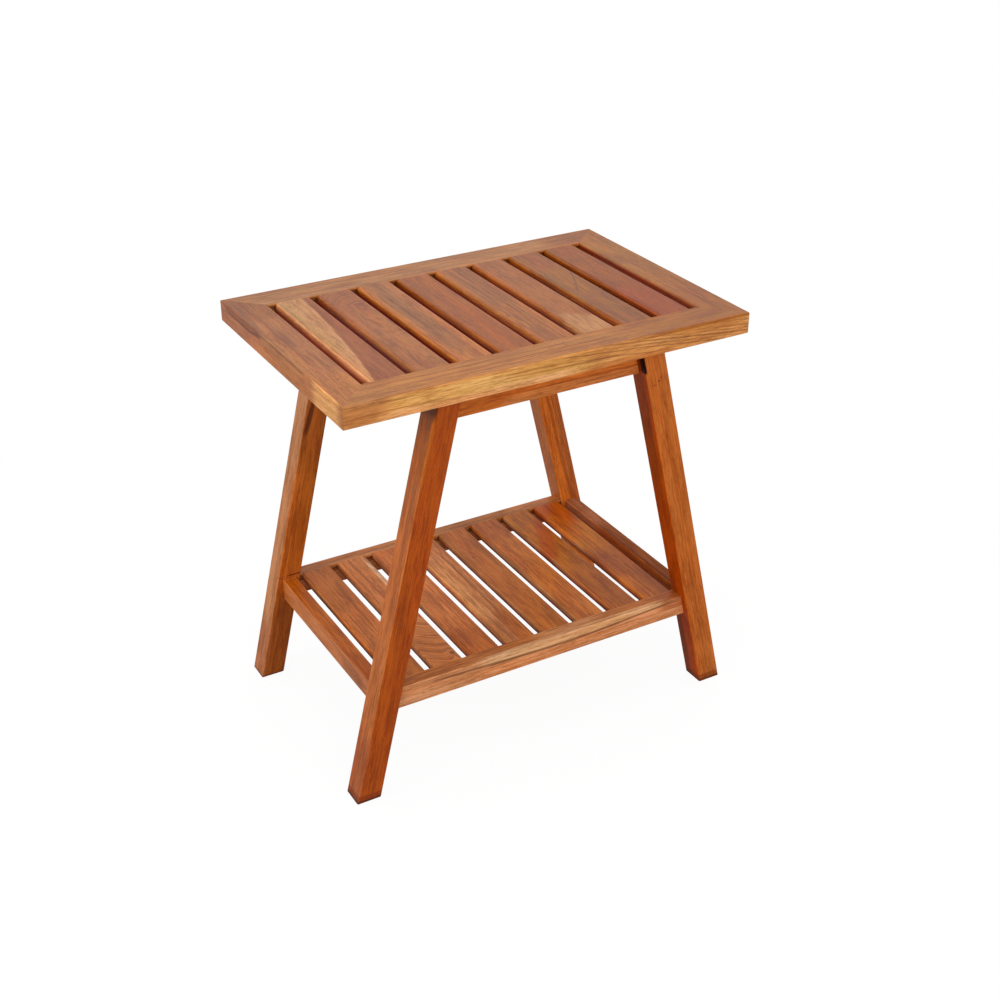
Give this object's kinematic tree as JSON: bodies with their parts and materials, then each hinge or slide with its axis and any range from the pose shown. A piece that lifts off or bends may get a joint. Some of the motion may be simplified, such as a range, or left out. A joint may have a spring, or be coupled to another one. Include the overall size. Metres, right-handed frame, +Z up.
{
  "type": "bath bench",
  "caption": "Small slatted wooden bath bench with a mitred seat frame, splayed square legs, aprons and a low slatted shelf.",
  "frame": {"origin": "on the floor under the middle of the seat", "axes": "+X along the seat's length, -Y towards the front, +Z up"},
  "size_m": [0.4634, 0.302, 0.457],
  "materials": {
    "seat_frame_wood": "oiled, satin, straight grain",
    "seat_slat_wood": "oiled, satin, varied tone from slat to slat",
    "leg_wood": "oiled, satin, reddish brown",
    "shelf_wood": "oiled, satin, reddish brown",
    "dowel_wood": "raw pale hardwood",
    "screw_steel": "plain stainless steel"
  },
  "bodies": {
    "root": {"apron_back": "leg_wood", "apron_dowels": "dowel_wood", "apron_front": "leg_wood", "apron_left": "leg_wood", "apron_right": "leg_wood", "apron_side_dowels": "dowel_wood", "leg_back_left": "leg_wood", "leg_back_right": "leg_wood", "leg_front_left": "leg_wood", "leg_front_right": "leg_wood", "leg_top_dowels": "dowel_wood", "seat_frame_back": "seat_frame_wood", "seat_frame_front": "seat_frame_wood", "seat_frame_left": "seat_frame_wood", "seat_frame_right": "seat_frame_wood", "seat_mitre_dowels": "dowel_wood", "seat_screws": "screw_steel", "seat_slat_1": "seat_slat_wood", "seat_slat_2": "seat_slat_wood", "seat_slat_3": "seat_slat_wood", "seat_slat_4": "seat_slat_wood", "seat_slat_5": "seat_slat_wood", "seat_slat_6": "seat_slat_wood", "seat_slat_7": "seat_slat_wood", "seat_slat_8": "seat_slat_wood", "shelf_rail_back": "shelf_wood", "shelf_rail_dowels": "dowel_wood", "shelf_rail_front": "shelf_wood", "shelf_rail_left": "shelf_wood", "shelf_rail_right": "shelf_wood", "shelf_side_dowels": "dowel_wood", "shelf_slat_1": "shelf_wood", "shelf_slat_2": "shelf_wood", "shelf_slat_3": "shelf_wood", "shelf_slat_4": "shelf_wood", "shelf_slat_5": "shelf_wood", "shelf_slat_6": "shelf_wood", "shelf_slat_7": "shelf_wood", "shelf_slat_8": "shelf_wood"}
  },
  "joints": []
}
